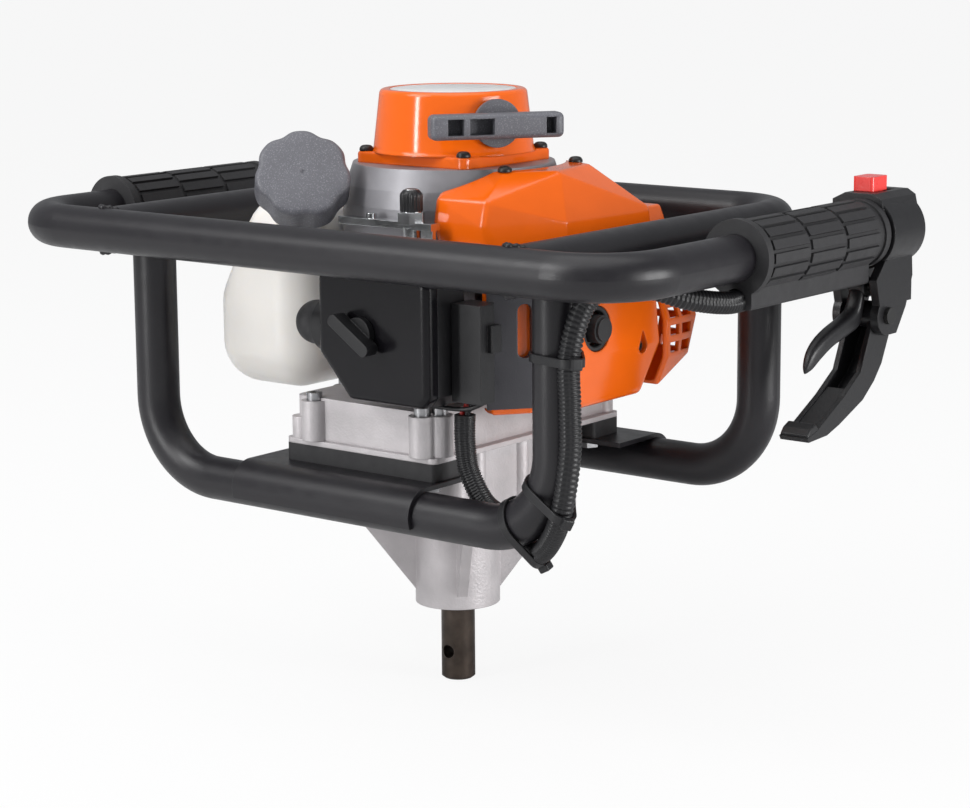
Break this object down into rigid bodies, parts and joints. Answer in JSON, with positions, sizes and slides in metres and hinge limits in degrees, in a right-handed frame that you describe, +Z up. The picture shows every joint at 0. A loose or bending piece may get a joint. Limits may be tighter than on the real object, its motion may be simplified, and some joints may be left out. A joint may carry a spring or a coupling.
{
  "type": "earth auger",
  "caption": "Petrol earth auger power head: dark tube handle frame, orange-covered two-stroke engine with recoil starter, and a reduction gearbox with a drill shaft.",
  "frame": {"origin": "centre of the drill shaft where its end chamfer starts", "axes": "+Z up along the shaft, -Y toward the front bar, +X toward the throttle grip"},
  "size_m": [0.467, 0.303, 0.3492],
  "materials": {
    "frame_paint": "semi-matt dark grey paint",
    "rubber": "matt",
    "steel": "plain",
    "dark_steel": "oiled, brown-black",
    "black_steel": "black oxide",
    "chrome": "bright",
    "cast_alloy": "bare casting",
    "silver_paint": "satin silver",
    "orange_plastic": "glossy moulding",
    "grey_plastic": "fine grain",
    "black_plastic": "fine grain",
    "filter_black": "glossy",
    "dark_panel": "satin",
    "red_plastic": "glossy",
    "wire": "red and black insulation",
    "rope": "braided",
    "foam": "open foam",
    "tank_white": "translucent blow moulding"
  },
  "bodies": {
    "frame": {"handle_tube": "frame_paint", "ring_tube": "frame_paint", "front_hoop": "frame_paint", "rear_hoop": "frame_paint", "front_mount_plate": "frame_paint", "rear_mount_plate": "frame_paint", "front_isolator": "rubber", "rear_isolator": "rubber", "mount_bolts": "steel", "left_grip": "rubber", "right_grip": "rubber", "throttle_housing": "black_plastic", "lever_pins": "black_steel", "cable_conduit": "black_plastic", "cable_ties": "black_plastic", "lead_wires": "wire", "gearbox_lower_case": "cast_alloy", "gearbox_upper_case": "cast_alloy", "case_bolts": "steel", "bearings": "steel", "oil_seal": "rubber", "crankcase": "cast_alloy", "engine_cylinder": "cast_alloy", "fan_housing": "silver_paint", "recoil_housing": "orange_plastic", "recoil_spring": "steel", "rope_guide": "grey_plastic", "cover_screws": "black_steel", "cylinder_shroud": "orange_plastic", "side_panel": "dark_panel", "muffler": "dark_steel", "muffler_guard": "orange_plastic", "spark_plug": "steel", "plug_boot": "rubber", "ignition_module": "black_plastic", "carburettor": "cast_alloy", "cable_adjuster": "chrome", "air_filter_base": "black_plastic", "air_filter_element": "foam", "air_filter_cover": "filter_black", "fuel_tank": "tank_white"},
    "trigger": {"throttle_trigger": "black_plastic"},
    "lock": {"lock_lever": "black_plastic"},
    "switch": {"stop_switch": "red_plastic"},
    "output": {"output_shaft": "dark_steel", "output_gear": "dark_steel"},
    "counter": {"countershaft": "dark_steel", "counter_gear": "dark_steel"},
    "input": {"clutch_drum": "dark_steel"},
    "crank": {"clutch_shoes": "dark_steel", "crankshaft": "dark_steel", "flywheel": "cast_alloy"},
    "piston": {"piston": "cast_alloy"},
    "pulley": {"recoil_pulley": "black_plastic"},
    "starter": {"starter_handle": "grey_plastic", "starter_rope": "rope"},
    "throttle": {"throttle_arm": "steel"},
    "knob": {"air_filter_knob": "black_plastic"},
    "bulb": {"primer_bulb": "rubber"},
    "cap": {"fuel_cap": "grey_plastic"}
  },
  "joints": [
    {"name": "input_spin", "type": "hinge", "parent": "frame", "child": "input", "pos_m": [0, 0, 0.16], "axis": [0, 0, 1], "continuous": true},
    {"name": "counter_spin", "type": "hinge", "parent": "frame", "child": "counter", "pos_m": [0, 0.04125, 0.14], "axis": [0, 0, 1], "continuous": true},
    {"name": "output_spin", "type": "hinge", "parent": "frame", "child": "output", "pos_m": [0, 0, 0.06], "axis": [0, 0, 1], "continuous": true},
    {"name": "crank_spin", "type": "hinge", "parent": "frame", "child": "crank", "pos_m": [0, 0, 0.218], "axis": [0, 0, 1], "continuous": true},
    {"name": "piston_slide", "type": "slide", "parent": "frame", "child": "piston", "axis": [1, 0, 0], "range_m": [-0.032, 0]},
    {"name": "starter_pull", "type": "slide", "parent": "frame", "child": "starter", "axis": [0.809, -0.5878, 0], "range_m": [0, 0.8], "stiffness_N_per_m": 12, "springref_m": -0.4, "deforming": ["starter_rope"]},
    {"name": "pulley_spin", "type": "hinge", "parent": "frame", "child": "pulley", "pos_m": [0, 0, 0.331], "axis": [0, 0, 1], "continuous": true},
    {"name": "trigger_pull", "type": "hinge", "parent": "frame", "child": "trigger", "pos_m": [0.213, 0.102, 0.224], "axis": [-1, 0, 0], "range_deg": [0, 14], "stiffness_Nm_per_rad": 0.5, "springref_deg": -11.46},
    {"name": "lock_press", "type": "hinge", "parent": "frame", "child": "lock", "pos_m": [0.213, 0.097, 0.24], "axis": [-1, 0, 0], "range_deg": [0, 14], "stiffness_Nm_per_rad": 0.3, "springref_deg": -11.46},
    {"name": "switch_slide", "type": "slide", "parent": "frame", "child": "switch", "axis": [0, 1, 0], "range_m": [0, 0.006]},
    {"name": "cap_turn", "type": "hinge", "parent": "frame", "child": "cap", "pos_m": [-0.045, -0.08, 0.2995], "axis": [0.593, -0.593, 0.5446], "range_deg": [0, 180]},
    {"name": "knob_turn", "type": "hinge", "parent": "frame", "child": "knob", "pos_m": [0.02, -0.106, 0.222], "axis": [0, -1, 0], "range_deg": [0, 180]},
    {"name": "throttle_turn", "type": "hinge", "parent": "frame", "child": "throttle", "pos_m": [0.042, -0.062, 0.2354], "axis": [0, 0, 1], "range_deg": [-40, 0]},
    {"name": "bulb_press", "type": "slide", "parent": "frame", "child": "bulb", "axis": [1, 0, 0], "range_m": [0, 0.004], "stiffness_N_per_m": 300}
  ],
  "couplings": [
    {"joint": "counter_spin", "follows": "input_spin", "ratio": -0.2},
    {"joint": "output_spin", "follows": "input_spin", "ratio": 0.04},
    {"joint": "pulley_spin", "follows": "starter_pull", "rad_per_m": -34.483},
    {"joint": "throttle_turn", "follows": "trigger_pull", "ratio": -2.8}
  ]
}
